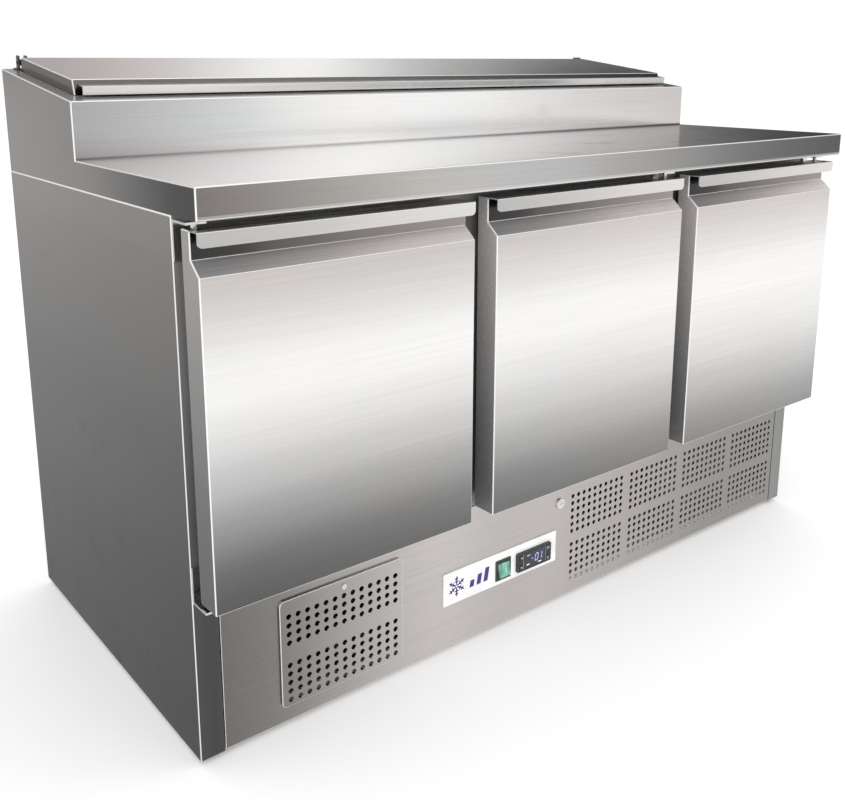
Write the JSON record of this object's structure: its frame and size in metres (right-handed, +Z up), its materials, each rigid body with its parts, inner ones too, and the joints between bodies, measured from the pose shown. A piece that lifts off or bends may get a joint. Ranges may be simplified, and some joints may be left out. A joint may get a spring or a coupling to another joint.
{
  "type": "refrigerated preparation counter",
  "caption": "Low reach-in refrigerated counter with hinged doors, a worktop, a raised sloping pan section under a hinged lid, and a vented service panel.",
  "frame": {"origin": "on the floor, under the middle of the counter's outline at rest", "axes": "+Z up, the front with the doors faces -Y, +X to the right seen from the front"},
  "size_m": [1.365, 0.7, 0.9433],
  "materials": {
    "stainless_outer": "satin brushed",
    "stainless_door": "satin brushed",
    "stainless_top": "satin brushed",
    "stainless_inner": "satin",
    "galvanised": "spangled zinc",
    "foam": "closed-cell foam",
    "gasket": "soft matt",
    "hinge_steel": "dark oxide",
    "bright_steel": "polished",
    "fascia": "smooth",
    "black_plastic": "fine grain",
    "key": "smooth",
    "display": "tinted",
    "rocker_green": "translucent, lit",
    "wire": "plated",
    "coil": "finned",
    "copper": "dull copper",
    "compressor_black": "satin enamel",
    "motor_grey": "satin enamel",
    "fan_blade": "plain",
    "glide": "nylon"
  },
  "bodies": {
    "cabinet": {"side_panel_left": "stainless_outer", "side_panel_right": "stainless_outer", "back_panel": "galvanised", "base_pan": "galvanised", "levelling_glides": "glide", "front_frame": "stainless_outer", "inner_liner": "stainless_inner", "cabinet_insulation": "foam", "worktop_shell": "stainless_top", "pan_well_liner": "stainless_inner", "food_pans": "stainless_inner", "pan_support_bars": "stainless_inner", "lid_hinge_brackets": "hinge_steel", "door_hinge_brackets": "bright_steel", "shelf_supports": "stainless_inner", "wire_shelves": "wire", "evaporator_coil": "coil", "evaporator_cover": "stainless_inner", "evaporator_fan_motor": "motor_grey", "condenser_coil": "coil", "condenser_shroud": "galvanised", "condenser_fan_motor": "motor_grey", "compressor": "compressor_black", "drip_tray": "black_plastic", "refrigerant_lines": "copper", "cable_gland": "black_plastic"},
    "lid": {"lid_skin": "stainless_top", "lid_liner": "stainless_inner", "lid_insulation": "foam", "lid_handle": "stainless_door", "lid_hinge_arms": "hinge_steel"},
    "service_panel": {"lower_front_panel": "stainless_outer", "left_vent_cover": "stainless_outer", "vent_cover_screw": "bright_steel", "control_fascia": "fascia", "rocker_bezel": "black_plastic", "controller_housing": "black_plastic", "display_lens": "display", "lock_barrel": "bright_steel"},
    "rocker": {"power_rocker": "rocker_green"},
    "lock_plug": {"lock_plug": "bright_steel"},
    "key_up": {"key_up": "key"},
    "key_down": {"key_down": "key"},
    "key_set": {"key_set": "key"},
    "key_defrost": {"key_defrost": "key"},
    "evaporator_fan": {"evaporator_fan": "fan_blade"},
    "condenser_fan": {"condenser_fan": "fan_blade"},
    "door_left": {"door_left_skin": "stainless_door", "door_left_insulation": "foam", "door_left_inner_panel": "stainless_inner", "door_left_gasket": "gasket"},
    "door_middle": {"door_middle_skin": "stainless_door", "door_middle_insulation": "foam", "door_middle_inner_panel": "stainless_inner", "door_middle_gasket": "gasket"},
    "door_right": {"door_right_skin": "stainless_door", "door_right_insulation": "foam", "door_right_inner_panel": "stainless_inner", "door_right_gasket": "gasket"}
  },
  "joints": [
    {"name": "door_left_hinge", "type": "hinge", "parent": "cabinet", "child": "door_left", "pos_m": [-0.666, -0.308, 0.4975], "axis": [0, 0, -1], "range_deg": [0, 100], "stiffness_Nm_per_rad": 0.35, "springref_deg": -20.05},
    {"name": "door_middle_hinge", "type": "hinge", "parent": "cabinet", "child": "door_middle", "pos_m": [0.2, -0.308, 0.4975], "axis": [0, 0, 1], "range_deg": [0, 100], "stiffness_Nm_per_rad": 0.35, "springref_deg": -20.05},
    {"name": "door_right_hinge", "type": "hinge", "parent": "cabinet", "child": "door_right", "pos_m": [0.666, -0.308, 0.4975], "axis": [0, 0, 1], "range_deg": [0, 100], "stiffness_Nm_per_rad": 0.35, "springref_deg": -20.05},
    {"name": "lid_hinge", "type": "hinge", "parent": "cabinet", "child": "lid", "pos_m": [0, 0.3326, 0.93174], "axis": [-1, 0, 0], "range_deg": [0, 105]},
    {"name": "service_panel_tilt", "type": "hinge", "parent": "cabinet", "child": "service_panel", "pos_m": [0, -0.27, 0.02], "axis": [1, 0, 0], "range_deg": [0, 70]},
    {"name": "lock_turn", "type": "hinge", "parent": "service_panel", "child": "lock_plug", "pos_m": [0, -0.275, 0.19], "axis": [0, 1, 0], "range_deg": [-90, 0]},
    {"name": "rocker_tip", "type": "hinge", "parent": "service_panel", "child": "rocker", "pos_m": [-0.134, -0.28, 0.112], "axis": [1, 0, 0], "range_deg": [0, 14]},
    {"name": "key_up_press", "type": "slide", "parent": "service_panel", "child": "key_up", "axis": [0, 1, 0], "range_m": [0, 0.0008], "stiffness_N_per_m": 1500, "springref_m": -0.0003},
    {"name": "key_down_press", "type": "slide", "parent": "service_panel", "child": "key_down", "axis": [0, 1, 0], "range_m": [0, 0.0008], "stiffness_N_per_m": 1500, "springref_m": -0.0003},
    {"name": "key_set_press", "type": "slide", "parent": "service_panel", "child": "key_set", "axis": [0, 1, 0], "range_m": [0, 0.0008], "stiffness_N_per_m": 1500, "springref_m": -0.0003},
    {"name": "key_defrost_press", "type": "slide", "parent": "service_panel", "child": "key_defrost", "axis": [0, 1, 0], "range_m": [0, 0.0008], "stiffness_N_per_m": 1500, "springref_m": -0.0003},
    {"name": "evaporator_fan_spin", "type": "hinge", "parent": "cabinet", "child": "evaporator_fan", "pos_m": [0, 0.24, 0.6], "axis": [0, 1, 0], "continuous": true},
    {"name": "condenser_fan_spin", "type": "hinge", "parent": "cabinet", "child": "condenser_fan", "pos_m": [0.47, -0.164, 0.118], "axis": [0, 1, 0], "continuous": true}
  ]
}
